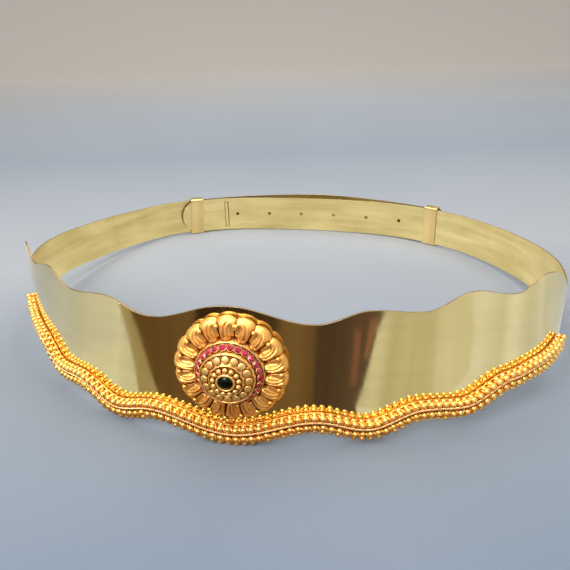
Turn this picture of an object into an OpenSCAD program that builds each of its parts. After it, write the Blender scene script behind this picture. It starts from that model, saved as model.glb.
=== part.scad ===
// Oddiyanam waist belt: a wavy front plate with two straps, cut from one brass sheet and bent round
// the waist, with two keepers, a clasp tab, two bead strands and a stepped medallion set with rubies.
// Everything is first placed in the belt's own frame, with z = 0 at the straps' middle line at the back
// and the plate at the front, towards -Y.

/* [Sheet] */
// Thickness of the brass sheet
sheet_t = 0.8; // [0.6:0.1:1.2]
// Height of the straps
strap_h = 25; // [20:1:30]
// How far the plate's middle line lies above the back straps' middle line
front_rise = 6; // [0:0.5:8]
// Arc place of the plate's middle, from the loop's foremost line towards +X
plate_shift = -28.2; // [-40:0.1:0]

/* [Fastening] */
// Distance from the plate's middle, by the right strap, to the first size hole
first_hole = 357; // [350:1:365]
// Pitch of the size holes, one inch
hole_pitch = 25.4; // [20:0.1:25.4]
// Number of size holes
hole_count = 6; // [4:1:6]
// Diameter of a size hole
hole_d = 2.6; // [1.5:0.1:4]
// Distance from the plate's middle to the clasp slot
slot_place = 492.6; // [491:0.1:496]
// Width of the clasp slot
slot_w = 3.4; // [2.5:0.1:4]
// Height of the clasp slot
slot_h = 20.2; // [12:0.1:22]
// Distance from the plate's middle to the tongue's tip
tongue_tip = 527.4; // [524:0.1:535]
// Distance from the plate's middle to the right keeper
right_keeper_place = 332.5; // [328:0.5:340]
// Distance from the plate's middle to the left keeper
left_keeper_place = 516; // [513:0.5:518]
// Width of a keeper band
keeper_w = 9.6; // [7:0.1:11]
// Thickness of a keeper band
keeper_t = 0.6; // [0.5:0.1:1]
// Lean of the left keeper
left_keeper_lean = 2.5; // [0:0.5:3]
// Distance between the two straps' middle surfaces inside a keeper
strap_gap = 2.6; // [2:0.1:4]
// How much further the outer strap bulges between the keepers
strap_bulge = 10.2; // [0:0.1:14]

/* [Trim] */
// Diameter of one bead strand
strand_d = 4.5; // [4:0.1:5]
// Distance between the two strands' middle lines
strand_pitch = 4.55; // [4.5:0.05:6]
// Length of the strands on each side of the plate's middle
trim_reach = 149; // [140:1:160]

/* [Medallion] */
// Height of the medallion's middle above the straps' middle line
medallion_z = 10.2; // [8:0.1:12]
// Sideways place of the medallion's middle
medallion_along = 0.9; // [-2:0.1:2]
// Number of mango petals, half of them curled each way
petal_count = 18; // [12:2:20]
// Number of rubies round the medallion
ruby_count = 26; // [20:1:26]
// Diameter of a ruby
ruby_d = 2.5; // [1.8:0.1:2.5]
// Number of gold discs inside the rubies
disc_count = 16; // [12:1:18]
// Number of gold beads round the bezel
bead_count = 13; // [10:1:14]
// Diameter of the centre stone
stone_d = 5.1; // [4:0.1:5.4]

/* [Rest] */
// How far the belt leans back where it rests on the plate's lobes and the left keeper
lean = 2.5; // [0:0.1:5]
// How far the belt leans sideways where it rests
roll = 0.57; // [-2:0.01:2]

/* [Hidden] */
// Radius of the loop at equal angles, counter-clockwise from +X
loop_radii = [
    137.5, 133.5, 126, 118.5, 120.5, 133.5, 143, 142.5,
    142.5, 136, 131, 127.5, 126, 133, 145, 142.5
];
radius_count = len(loop_radii);
radius_step = 360 / radius_count;

// Lobes of the plate, the same to the left and to the right of its middle.
// Columns: distance from the middle, sheet's top edge, sheet's lower edge, lowest line of the bead trim
lobes = [
    [0, 34.8, -22.7, -24.2],
    [32, 27.5, -16.3, -17.8],
    [52, 32.5, -20.4, -21.9],
    [73, 30.3, -14.1, -15.6],
    [91, 36, -15.9, -17.4],
    [112, 32, -7.9, -9.4],
    [127, 37, -6.1, -7.6],
    [168, front_rise + strap_h / 2, front_rise - strap_h / 2, -2.3]
];
plate_end = lobes[len(lobes) - 1][0];
sink_start = 158;
sink_end = 300;

// Finest and coarsest steps along the sheet
plate_step = 3;
strap_step = 6;
tongue_steps = 8;

clearance = 0.15;
keeper_room = 0.3;
keeper_back_rise = 1;
outer_strap_end = 326;
parting_reach = 50;
parted_before = 20;
tab_w = 1.5;
tab_h = 19;
tab_stand = 0.5;

function ruby_name(i) = str("ruby_", i < 10 ? "0" : "", i);

// Smooth steps between the rows of a table
function ease(w) = (1 - cos(180 * w)) / 2;
function row_below(table, x, i = 0) =
    i >= len(table) - 2 || x < table[i + 1][0] ? i : row_below(table, x, i + 1);
function smooth_lookup(table, x, column) =
    let (i = row_below(table, x), a = table[i], b = table[i + 1])
    let (w = min(1, max(0, (x - a[0]) / (b[0] - a[0]))))
    a[column] + (b[column] - a[column]) * ease(w);

// Plan of the loop
function spline(a, b, c, d, w) =
    let (second = 2 * a - 5 * b + 4 * c - d, third = 3 * b - a - 3 * c + d)
    (2 * b + (c - a) * w + second * w * w + third * w * w * w) / 2;
function ring_radius(i) = loop_radii[(i + 2 * radius_count) % radius_count];
function loop_radius(angle) =
    let (x = angle / radius_step, i = floor(x))
    spline(ring_radius(i - 1), ring_radius(i), ring_radius(i + 1), ring_radius(i + 2), x - i);
function loop_point(angle) = loop_radius(angle) * [cos(angle), sin(angle)];

// Arc length against angle, from the front line both ways and past the back
front_angle = 270;
angle_reach = 252;
angle_step = 1.5;
arc_rows = [
    for (
        a = front_angle - angle_reach, s = 0;
        a <= front_angle + angle_reach;
        s = s + norm(loop_point(a + angle_step) - loop_point(a)), a = a + angle_step
    ) [s, a]
];
front_arc = lookup(front_angle, [for (row = arc_rows) [row[1], row[0]]]);
loop_length = lookup(front_angle + 180, [for (row = arc_rows) [row[1], row[0]]])
    - lookup(front_angle - 180, [for (row = arc_rows) [row[1], row[0]]]);

// Along is the distance from the plate's middle: positive by the right strap, negative by the left one
function angle_at(along) = lookup(along + front_arc + plate_shift, arc_rows);
function tangent_at(along) =
    let (a = angle_at(along), d = loop_point(a + 0.5) - loop_point(a - 0.5))
    d / norm(d);
function normal_at(along) = let (t = tangent_at(along)) [t[1], -t[0]];
function normal_angle(along) = let (n = normal_at(along)) atan2(n[1], n[0]);
function place(along, z, off) = concat(loop_point(angle_at(along)) + off * normal_at(along), [z]);

// Heights of the sheet's edges
function strap_middle(along) =
    front_rise * (1 - ease(min(1, max(0, (abs(along) - sink_start) / (sink_end - sink_start)))));
function tongue_half(along) =
    let (into = along - (tongue_tip - strap_h / 2))
    into <= 0 ? strap_h / 2 : max(0.6, sqrt(max(0, pow(strap_h / 2, 2) - into * into)));
function top_edge(along) =
    abs(along) < plate_end ? smooth_lookup(lobes, abs(along), 1) : strap_middle(along) + tongue_half(along);
function lower_edge(along) =
    abs(along) < plate_end ? smooth_lookup(lobes, abs(along), 2) : strap_middle(along) - tongue_half(along);

// How far the left strap stands outside the right one in the overlap
left_keeper_arc = loop_length - left_keeper_place;
right_keeper_arc = loop_length - right_keeper_place;
parting_start = left_keeper_arc - parting_reach;
parting_end = left_keeper_arc - parted_before;
bulge_start = left_keeper_arc + keeper_w;
bulge_end = right_keeper_arc - keeper_w;
function sheet_offset(along) =
    along > -parting_start ? 0
    : strap_gap * ease(min(1, (-along - parting_start) / (parting_end - parting_start)))
        + (-along > bulge_start && -along < bulge_end
            ? strap_bulge * pow(sin(180 * (-along - bulge_start) / (bulge_end - bulge_start)), 2) : 0);

// Closed skin through equal rings of points, given in order along the body
function skin_faces(rings, sides) = concat(
    [[for (k = [0:sides - 1]) k]],
    [for (i = [0:rings - 2], k = [0:sides - 1]) let (n = (k + 1) % sides)
        [i * sides + k, (i + 1) * sides + k, (i + 1) * sides + n, i * sides + n]],
    [[for (k = [sides - 1:-1:0]) (rings - 1) * sides + k]]
);
module skin(rings) {
    sides = len(rings[0]);
    points = [for (ring = rings, p = ring) p];
    polyhedron(points, skin_faces(len(rings), sides), convexity = 8);
}

// Child's X runs along the belt, Y up and Z outwards
module on_belt(along, z, off = 0) {
    translate(place(along, z, off)) rotate([0, 0, normal_angle(along)]) rotate([90, 0, 90]) children();
}

// Stands the belt on the table as it rests
module seated() {
    translate([seat_x, seat_y, seat_z]) rotate([-lean, roll, 0]) children();
}
seat_x = 2.25;
seat_y = 1.84;
seat_z = 18.38;

sheet_stations = concat(
    [for (s = [outer_strap_end - loop_length:strap_step:-plate_end - 1]) s],
    [for (s = [-plate_end:plate_step:plate_end]) s],
    [for (s = [plate_end + strap_step:strap_step:tongue_tip - strap_h / 2 - 1]) s],
    [for (k = [0:tongue_steps]) tongue_tip - strap_h / 2 * (1 - sin(90 * k / tongue_steps))]
);
function sheet_ring(s) =
    let (o = sheet_offset(s), lo = lower_edge(s), hi = top_edge(s))
    [
        place(s, lo, o - sheet_t / 2),
        place(s, hi, o - sheet_t / 2),
        place(s, hi, o + sheet_t / 2),
        place(s, lo, o + sheet_t / 2)
    ];

module belt_sheet() {
    cut_depth = strap_gap - sheet_t - 0.2;
    color("khaki") seated() difference() {
        skin([for (s = sheet_stations) sheet_ring(s)]);
        for (i = [0:hole_count - 1])
            on_belt(first_hole + i * hole_pitch, 0)
                cylinder(d = hole_d, h = cut_depth, center = true, $fn = 24);
        on_belt(slot_place, 0) cube([slot_w, slot_h, cut_depth], center = true);
    }
}

// A flat band bent round both straps, cut off square
module keeper(along, tilt) {
    depth = strap_gap + sheet_t + 2 * keeper_room;
    height = strap_h + 2 * keeper_room;
    inner = -sheet_t / 2 - keeper_room;
    color("goldenrod") seated() on_belt(along, 0) rotate([0, 0, tilt])
        rotate([90, 0, 90]) linear_extrude(height = keeper_w, center = true) difference() {
            polygon([
                [-height / 2 - keeper_t, inner - keeper_t],
                [height / 2 + keeper_t, inner - keeper_t],
                [height / 2 + keeper_t + keeper_back_rise, inner + depth + keeper_t],
                [-height / 2 - keeper_t, inner + depth + keeper_t]
            ]);
            polygon([
                [-height / 2, inner],
                [height / 2, inner],
                [height / 2 + keeper_back_rise, inner + depth],
                [-height / 2, inner + depth]
            ]);
        }
}
module left_keeper() {
    keeper(left_keeper_place, left_keeper_lean);
}
module right_keeper() {
    keeper(right_keeper_place, 0);
}

// Plain tab that stands on the outer strap and passes through the slot
module clasp_tab() {
    reach = sheet_offset(slot_place - loop_length) - sheet_t / 2 - clearance;
    color("khaki") seated() on_belt(slot_place, 0, -sheet_t / 2 - tab_stand)
        translate([-tab_w / 2, -tab_h / 2, 0]) cube([tab_w, tab_h, reach + sheet_t / 2 + tab_stand]);
}

// One bead strand, as a plain tube above or below the trim's middle line
trim_step = 3;
strand_sides = 8;
trim_half = (strand_pitch + strand_d) / 2;
function trim_middle(s) = smooth_lookup(lobes, abs(s), 3) + trim_half;
function strand_centre(s, side) =
    let (slope = (trim_middle(s + 0.5) - trim_middle(s - 0.5)), n = [-slope, 1] / norm([slope, 1]))
    let (d = side * strand_pitch / 2)
    place(s + n[0] * d, trim_middle(s) + n[1] * d, (sheet_t + strand_d) / 2 + clearance);
function strand_ring(s, side) =
    let (p = strand_centre(s, side), q = strand_centre(s + 0.5, side) - strand_centre(s - 0.5, side))
    let (f = q / norm(q), n2 = normal_at(s), out = [n2[0], n2[1], 0], up = cross(out, f))
    [
        for (k = [0:strand_sides - 1])
            let (a = 360 * k / strand_sides)
            p + strand_d / 2 * (cos(a) * out + sin(a) * up / norm(up))
    ];
module strand(side) {
    color("orange") seated() skin([
        for (s = [trim_reach:-trim_step:-trim_reach]) strand_ring(s, side)
    ]);
}
module trim_upper() {
    strand(1);
}
module trim_lower() {
    strand(-1);
}

// Medallion, in its own frame: X to the right, Y up, Z outwards from the sheet
rim_r = 19.1;
rim_t = 1.4;
rim_scallop_r = 2.9;
body_profile = [
    [0, 0], [13.3, 0], [13.3, 4], [12.95, 4.9],
    [10.4, 8.3], [10, 8.65], [6.5, 10], [0, 10.2]
];

// Slanted band with the rubies in their collars
band_r = 11.85;
band_z = 6.75;
band_tilt = 53;
pocket_depth = 0.7;
collar_wall = 0.16;
collar_h = 1.15;
collar_top = 0.35;
cutter_h = 3;
seat_room = 0.07;

// Rings inside the rubies, from the outside inwards
outer_wire = [10.1, 8.75];
disc_ring = [8.2, 9.15];
disc_size = [2.85, 0.8];
disc_tilt = 21;
inner_wire = [6.3, 10.25];
wire_r = 0.35;
bead_ring = [4.77, 10.85];
bead_d = 1.95;
bezel_wall = 0.78;
bezel_r = stone_d / 2 + seat_room + bezel_wall;
bezel_foot = 9.6;
bezel_top = 11.9;
bezel_depth = 1.5;

petal_sides = 8;
round_sides = 16;
wheel_sides = 72;
bezel_sides = 48;

module on_medallion() {
    on_belt(medallion_along, medallion_z, sheet_t / 2 + clearance) children();
}
module around(count, turn = 0) {
    for (i = [0:count - 1]) rotate([0, 0, turn + i * 360 / count]) children();
}

// Spine of a mango petal.
// Columns: distance out, sideways curl, height, half width, half height
petal_spine = [
    [13, -0.6, 3, 1.3, 0.8],
    [13.9, -0.8, 3.4, 2.1, 1.5],
    [15.2, -0.9, 3.6, 2.5, 2],
    [16.8, -0.7, 3.4, 2.4, 2.2],
    [18.4, -0.2, 3.2, 2.3, 2],
    [19.8, 0.5, 2.9, 2.4, 1.8],
    [21, 1, 2.6, 1.9, 1.4],
    [21.8, 1.1, 2.3, 0.9, 0.8]
];

// Turn of the line on which the two mirrored rows of petals meet
petal_turn = -9;

module petal() {
    skin([
        for (row = petal_spine) [
            for (k = [0:petal_sides - 1])
                let (a = 360 * k / petal_sides)
                [row[0], row[1] + row[3] * cos(a), row[2] + row[4] * sin(a)]
        ]
    ]);
}

// Petals curl towards the top on both sides
module petals() {
    step = 360 / petal_count;
    for (side = [0, 1]) mirror([side, 0, 0])
        for (i = [0:petal_count / 2 - 1]) rotate([0, 0, (i + 0.5) * step - 90]) petal();
}

module ring_wire(ring) {
    translate([0, 0, ring[1]]) rotate_extrude($fn = wheel_sides) translate([ring[0], 0])
        circle(r = wire_r, $fn = 10);
}
module on_band(i) {
    rotate([0, 0, 90 + (i + 0.5) * 360 / ruby_count]) translate([band_r, 0, band_z])
        rotate([0, band_tilt, 0]) children();
}
module on_each_place() {
    for (i = [0:ruby_count - 1]) on_band(i) children();
}
module rim_and_body() {
    cylinder(r = rim_r, h = rim_t, $fn = wheel_sides);
    around(petal_count, petal_turn) translate([rim_r, 0, 0])
        cylinder(r = rim_scallop_r, h = rim_t, $fn = 24);
    rotate_extrude($fn = wheel_sides) polygon(body_profile);
}
module collars() {
    on_each_place() translate([0, 0, collar_top - collar_h])
        cylinder(r = ruby_d / 2 + collar_wall, h = collar_h, $fn = round_sides);
}
module pockets() {
    on_each_place() translate([0, 0, -pocket_depth])
        cylinder(r = ruby_d / 2 + seat_room, h = cutter_h, $fn = round_sides);
    translate([0, 0, bezel_top - bezel_depth])
        cylinder(r = stone_d / 2 + seat_room, h = cutter_h, $fn = bezel_sides);
}
module medallion() {
    color("goldenrod") seated() on_medallion() {
        difference() {
            union() {
                rim_and_body();
                collars();
                translate([0, 0, bezel_foot])
                    cylinder(r = bezel_r, h = bezel_top - bezel_foot, $fn = bezel_sides);
            }
            pockets();
        }
        rotate([0, 0, petal_turn]) petals();
        ring_wire(outer_wire);
        ring_wire(inner_wire);
        around(disc_count) translate([disc_ring[0], 0, disc_ring[1]]) rotate([0, disc_tilt, 0])
            cylinder(d = disc_size[0], h = disc_size[1], $fn = round_sides);
        around(bead_count) translate([bead_ring[0], 0, bead_ring[1]]) sphere(d = bead_d, $fn = round_sides);
    }
}

// A round stone with a table and ten facets above and below its girdle
module ruby(i) {
    facets = 10;
    pavilion_h = 0.45;
    girdle_h = 0.2;
    crown_h = 0.45;
    table_share = 0.6;
    table_r = table_share * ruby_d / 2;
    color("deeppink") seated() on_medallion() on_band(i) translate([0, 0, seat_room - pocket_depth]) {
        cylinder(h = pavilion_h, r1 = table_r, r2 = ruby_d / 2, $fn = facets);
        translate([0, 0, pavilion_h]) cylinder(h = girdle_h, r = ruby_d / 2, $fn = facets);
        translate([0, 0, pavilion_h + girdle_h])
            cylinder(h = crown_h, r1 = ruby_d / 2, r2 = table_r, $fn = facets);
    }
}

// Smooth domed stone in the bezel
module centre_stone() {
    dome_r = 3.4;
    wall_h = 1;
    drop = sqrt(dome_r * dome_r - stone_d * stone_d / 4);
    color("darkgreen") seated() on_medallion() translate([0, 0, bezel_top - bezel_depth + seat_room]) {
        cylinder(d = stone_d, h = wall_h, $fn = bezel_sides);
        translate([0, 0, wall_h]) intersection() {
            translate([0, 0, -drop]) sphere(r = dome_r, $fn = bezel_sides);
            cylinder(d = stone_d, h = dome_r, $fn = bezel_sides);
        }
    }
}

belt_sheet();
left_keeper();
right_keeper();
clasp_tab();
trim_upper();
trim_lower();
medallion();
for (i = [1:ruby_count]) ruby(i - 1);
centre_stone();
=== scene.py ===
"""Oddiyanam waist belt: a polished brass sheet with keepers, bead strands and a stepped medallion.

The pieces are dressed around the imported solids. Sizes are millimetres in the belt's own frame, where
z = 0 is the straps' middle line at the back and the plate faces -Y, and are turned into metres on the
table by seated().
"""

import math

import bmesh
import bpy
import numpy as np
from mathutils import Matrix, Vector
from mathutils.geometry import delaunay_2d_cdt


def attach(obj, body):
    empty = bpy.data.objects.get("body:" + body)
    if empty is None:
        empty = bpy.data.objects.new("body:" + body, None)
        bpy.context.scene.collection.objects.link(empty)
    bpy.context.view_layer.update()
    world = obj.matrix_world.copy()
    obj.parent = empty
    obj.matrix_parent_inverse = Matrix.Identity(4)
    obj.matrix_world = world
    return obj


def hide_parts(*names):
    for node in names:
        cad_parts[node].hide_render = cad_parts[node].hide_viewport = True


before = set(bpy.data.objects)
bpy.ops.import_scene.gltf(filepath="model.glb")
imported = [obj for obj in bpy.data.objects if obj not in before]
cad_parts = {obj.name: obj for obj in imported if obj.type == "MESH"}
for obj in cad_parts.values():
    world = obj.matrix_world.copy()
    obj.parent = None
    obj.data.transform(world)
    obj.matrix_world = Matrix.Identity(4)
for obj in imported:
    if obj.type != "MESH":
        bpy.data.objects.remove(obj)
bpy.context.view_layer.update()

MM = 0.001
BODY = "root"

# How the belt stands on the table
LEAN = math.radians(2.5)
ROLL = math.radians(0.57)
SEAT = Vector((2.25, 1.84, 18.38))
SEATED = Matrix.Translation(SEAT) @ Matrix.Rotation(ROLL, 4, "Y") @ Matrix.Rotation(-LEAN, 4, "X")

# Plan of the loop, and its plate
LOOP_RADII = np.array([
    137.5, 133.5, 126, 118.5, 120.5, 133.5, 143, 142.5,
    142.5, 136, 131, 127.5, 126, 133, 145, 142.5,
])
PLATE_SHIFT = -28.2
FRONT_RISE = 6.0
STRAP_H = 25.0
SHEET_T, SHEET_ROUNDING = 0.8, 0.14
SINK_START, SINK_END = 158.0, 300.0
# Columns: distance from the middle, sheet's top edge, sheet's lower edge, lowest line of the bead trim
LOBES = np.array([
    [0, 34.8, -22.7, -24.2],
    [32, 27.5, -16.3, -17.8],
    [52, 32.5, -20.4, -21.9],
    [73, 30.3, -14.1, -15.6],
    [91, 36, -15.9, -17.4],
    [112, 32, -7.9, -9.4],
    [127, 37, -6.1, -7.6],
    [168, FRONT_RISE + STRAP_H / 2, FRONT_RISE - STRAP_H / 2, -2.3],
])
PLATE_END = LOBES[-1, 0]

# Ripples in the bent sheet: depth, length along it, lean with height, start
RIPPLES = ((0.055, 6.1, 0.012, 0.7), (0.075, 10.7, -0.02, 2.1), (0.05, 17.3, 1 / 21, 4.0))

# Fastening
FIRST_HOLE, HOLE_PITCH, HOLE_COUNT, HOLE_D, HOLE_SIDES = 357.0, 25.4, 6, 2.6, 28
SLOT_PLACE, SLOT_W, SLOT_H = 492.6, 3.4, 20.2
TONGUE_TIP = 527.4
OUTER_STRAP_END = 326.0
RIGHT_KEEPER, LEFT_KEEPER = 332.5, 516.0
KEEPER_W, KEEPER_T, KEEPER_ROOM, KEEPER_BACK_RISE = 9.6, 0.6, 0.3, 1.0
KEEPER_BEND, KEEPER_ROUNDING = 0.8, 0.12
LEFT_KEEPER_LEAN = math.radians(2.5)
STRAP_GAP, STRAP_BULGE = 2.6, 10.2
PART_BEFORE, PART_LENGTH = 50.0, 30.0

# Points of the sheet's mesh: along each strap, from edge to edge, and how far they keep from the holes
STRAP_STATIONS, SHEET_ROWS, HOLE_MARGIN = 150, 10, 0.8

# Bead strands
STRAND_D, STRAND_PITCH, TRIM_REACH = 4.5, 4.55, 149.0
CLEARANCE = 0.15
STRAND_BEAD_PITCH, STRAND_RING_R, STRAND_BEAD_R = 3.12, 1.2, 1.2
RING_BEADS, BEAD_SIZES, BEAD_FACES = 3, (0.93, 1.07), (12, 6)
RING_WOBBLE = math.radians(11)
# Each strand's name, side of the joint, turn of its rings, seed, and the solid it stands for
STRANDS = (
    ("strand_upper", 1, math.radians(-35), 4, "trim_upper"),
    ("strand_lower", -0.92, math.radians(-43), 2, "trim_lower"),
)
# Twisted wires: radius of a wire, of its lay, and length of a turn
CORE_WIRE, JOINT_WIRE = (0.78, 0.72, 3.2), (0.25, 0.23, 1.9)
# Places beside the joint: share of the way up to the upper strand's middle, and distance outwards
JOINT_PLACE, SOLDER_PLACE, SOLDER_R = (0.48, 1.35), (1.36, -1.92), 0.62

# Medallion
MEDALLION_ALONG, MEDALLION_Z = 0.9, 10.2
PETAL_TURN = math.radians(-9)
PETALS, RUBIES, DISCS, BEADS = 18, 26, 16, 13

# Camera of the photograph, in the belt's own frame
EYE = Vector((-12.13, -301.56, 118.06))
EYE_YAW, EYE_PITCH, EYE_ROLL = 0.0294, 0.402, 0.0205
FOCAL_PIXELS, FRAME_PIXELS, SENSOR = 550.0, 570.0, 36.0


# The belt's own frame


def through(a, b, c, d, w):
    """Smooth curve from b to c at a share w of the way, with a before them and d after."""
    return (2 * b + (c - a) * w + (2 * a - 5 * b + 4 * c - d) * w**2 + (3 * b - a - 3 * c + d) * w**3) / 2


def unit(vectors):
    return vectors / np.linalg.norm(vectors, axis=-1, keepdims=True)


def full_turn(sides):
    """Evenly spread angles round a circle."""
    return np.linspace(0, 2 * np.pi, sides, endpoint=False)


def run_along(path):
    """Distance run along a path, at each of its points."""
    return np.concatenate([[0], np.cumsum(np.linalg.norm(np.diff(path, axis=0), axis=1))])


def moved(points, matrix):
    turn = np.array(matrix)
    return np.asarray(points) @ turn[:3, :3].T + turn[:3, 3]


def loop_point(angle):
    """Point of the loop at an angle, or at each of an array of angles."""
    x = angle / (2 * math.pi / len(LOOP_RADII))
    i = np.floor(x).astype(int)
    radius = through(*(LOOP_RADII[(i + k) % len(LOOP_RADII)] for k in (-1, 0, 1, 2)), x - i)
    return np.stack([radius * np.cos(angle), radius * np.sin(angle)], axis=-1)


# The angles run on past a full turn, because the straps overlap
FRONT_ANGLE = 1.5 * math.pi
ARC_ANGLES = np.radians(np.arange(18, 522.1, 0.25))
ARC_LENGTHS = run_along(loop_point(ARC_ANGLES))
ARC_LENGTHS -= np.interp(FRONT_ANGLE, ARC_ANGLES, ARC_LENGTHS)
LOOP_LENGTH = np.ptp(np.interp([FRONT_ANGLE - math.pi, FRONT_ANGLE + math.pi], ARC_ANGLES, ARC_LENGTHS))


def place(along, z, off):
    """Points at a distance along the sheet, a height, and a distance outside its middle surface."""
    along, z, off = np.broadcast_arrays(*(np.asarray(v, float) for v in (along, z, off)))
    angle = np.interp(along + PLATE_SHIFT, ARC_LENGTHS, ARC_ANGLES)
    tangent = unit(loop_point(angle + 0.01) - loop_point(angle - 0.01))
    normal = np.stack([tangent[..., 1], -tangent[..., 0]], axis=-1)
    plan = loop_point(angle) + normal * off[..., None]
    return np.concatenate([plan, z[..., None]], axis=-1)


def ease(w):
    """Soft step from 0 to 1 as w goes from 0 to 1."""
    return (1 - np.cos(np.pi * np.clip(w, 0, 1))) / 2


def lobe_height(along, column):
    """Height of one of the plate's wavy lines, which are the columns of LOBES."""
    x = np.abs(along)
    i = np.clip(np.searchsorted(LOBES[:, 0], x, side="right") - 1, 0, len(LOBES) - 2)
    low, high = LOBES[i], LOBES[i + 1]
    w = (x - low[..., 0]) / (high[..., 0] - low[..., 0])
    return low[..., column] + (high[..., column] - low[..., column]) * ease(w)


def strap_middle(along):
    return FRONT_RISE * (1 - ease((np.abs(along) - SINK_START) / (SINK_END - SINK_START)))


def tongue_half(along):
    into = np.clip(along - (TONGUE_TIP - STRAP_H / 2), 0, STRAP_H / 2)
    return np.sqrt((STRAP_H / 2) ** 2 - into**2)


def sheet_edge(along, side):
    """Height of the sheet's top edge (side 1) or lower edge (side -1)."""
    on_plate = lobe_height(along, 1 if side > 0 else 2)
    on_strap = strap_middle(along) + side * tongue_half(along)
    return np.where(np.abs(along) < PLATE_END, on_plate, on_strap)


def sheet_offset(along):
    """How far the left strap stands outside the right one where they overlap."""
    back = -np.asarray(along, float)
    left, right = LOOP_LENGTH - LEFT_KEEPER, LOOP_LENGTH - RIGHT_KEEPER
    parted = STRAP_GAP * ease((back - (left - PART_BEFORE)) / PART_LENGTH)
    start, end = left + KEEPER_W, right - KEEPER_W
    bulge = STRAP_BULGE * np.sin(np.pi * np.clip((back - start) / (end - start), 0, 1)) ** 2
    return parted + bulge


def hand_ripple(along, z):
    """The slight waviness of sheet that is bent by hand, gone where it passes through the keepers."""
    wave = sum(depth * np.sin(along / length + lean * z + start) for depth, length, lean, start in RIPPLES)
    return wave * (1 - 0.7 * ease((np.abs(along) - 150) / 60))


def seated(points):
    """The points on the table, in metres."""
    return moved(points, SEATED) * MM


def on_belt(along, z, off=0.0):
    """Matrix whose X runs along the belt, Y up and Z outwards, at a place on the belt."""
    here, ahead, out = place([along, along + 0.5, along], z, [off, off, off + 1])
    x_axis = Vector(ahead - here).normalized()
    z_axis = Vector(out - here).normalized()
    x_axis = (x_axis - z_axis * x_axis.dot(z_axis)).normalized()
    turn = Matrix((x_axis, z_axis.cross(x_axis), z_axis)).transposed().to_4x4()
    return Matrix.Translation(Vector(here)) @ turn


# Mesh helpers


def in_scene(name, data):
    piece = bpy.data.objects.new(name, data)
    bpy.context.scene.collection.objects.link(piece)
    return piece


def mesh_piece(name, points, faces, materials=(), smooth=True):
    mesh = bpy.data.meshes.new(name)
    mesh.from_pydata([tuple(p) for p in points], [], faces)
    for material in materials:
        mesh.materials.append(material)
    if smooth:
        mesh.shade_smooth()
    mesh.validate()
    return in_scene(name, mesh)


def neighbours(count, closed=True):
    """Each place in a row with the next one, and the last with the first if the row is closed."""
    return [(k, (k + 1) % count) for k in range(count if closed else count - 1)]


def quads(rows, columns, closed_rows, closed_columns):
    """Faces between neighbouring points of a grid; a closed one is joined round from its end to its start."""
    return [
        (i * columns + k, j * columns + k, j * columns + n, i * columns + n)
        for i, j in neighbours(rows, closed_columns)
        for k, n in neighbours(columns, closed_rows)
    ]


def skin(rings, wrap=False):
    """Points and faces of a closed skin through equal rings."""
    rings = np.asarray(rings, float)
    count, sides, _ = rings.shape
    faces = quads(count, sides, True, wrap)
    if not wrap:
        faces.append(tuple(range(sides)))
        faces.append(tuple((count - 1) * sides + k for k in reversed(range(sides))))
    return rings.reshape(-1, 3), faces


def outwards(piece):
    """Turns every face of a closed mesh to point outwards."""
    shape = bmesh.new()
    shape.from_mesh(piece.data)
    bmesh.ops.remove_doubles(shape, verts=shape.verts, dist=1e-7)
    bmesh.ops.recalc_face_normals(shape, faces=shape.faces)
    shape.to_mesh(piece.data)
    shape.free()
    return piece


def sideways(path):
    """Two directions square to a path at each of its points, the second one upwards; they don't twist."""
    tangent = unit(np.gradient(path, axis=0))
    side = unit(np.cross((0, 0, 1), tangent))
    return side, np.cross(tangent, side)


def circles(side, over, sides):
    """Unit circles in the planes of two lists of directions."""
    a = full_turn(sides)[:, None]
    return side[:, None] * np.cos(a) + over[:, None] * np.sin(a)


def tube(path, radius, sides):
    """Closed round tube along a path, with one radius or one for each of its points."""
    return skin(path[:, None] + np.reshape(radius, (-1, 1, 1)) * circles(*sideways(path), sides))


def round_path(radius, z, sides=96):
    """Circle round the Z axis, or a wavy ring where there is a radius for each side."""
    a = full_turn(sides)
    return np.stack([radius * np.cos(a), radius * np.sin(a), np.full(sides, z)], axis=-1)


def lathe(profile, sides):
    """Closed turned shape from (radius, height) points that run from the axis to the axis."""
    return skin([round_path(radius, z, sides) for radius, z in profile[1:-1]])


def ball(radius, centre, segments, rings):
    """Points and faces of a ball with closed poles."""
    levels = math.pi * np.arange(1, rings) / rings
    rows = [round_path(radius * math.sin(v), -radius * math.cos(v), segments) + centre for v in levels]
    points, faces = skin(rows)
    faces = faces[:-2]
    south, north = len(points), len(points) + 1
    points = np.vstack([points, np.add(centre, (0, 0, -radius)), np.add(centre, (0, 0, radius))])
    last = (rings - 2) * segments
    for k, n in neighbours(segments):
        faces.append((south, k, n))
        faces.append((north, last + n, last + k))
    return points, faces


def gathered(parts):
    """One shape, as points and faces, from several."""
    points, faces, base = [], [], 0
    for part_points, part_faces in parts:
        points.append(np.asarray(part_points))
        faces.extend(tuple(base + i for i in face) for face in part_faces)
        base += len(part_points)
    return np.vstack(points), faces


def closed_piece(name, shape, finish, on=Matrix.Identity(4)):
    """Piece on the table from a closed shape in the belt's own frame, or in a frame that sits on the belt."""
    points, faces = shape
    return outwards(mesh_piece(name, seated(moved(points, on)), faces, [finish]))


def plain_mesh(piece, name):
    """The piece with its modifiers turned into a plain mesh, as a new object."""
    graph = bpy.context.evaluated_depsgraph_get()
    mesh = bpy.data.meshes.new_from_object(piece.evaluated_get(graph))
    mesh.name = name
    bpy.data.objects.remove(piece)
    return in_scene(name, mesh)


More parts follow.
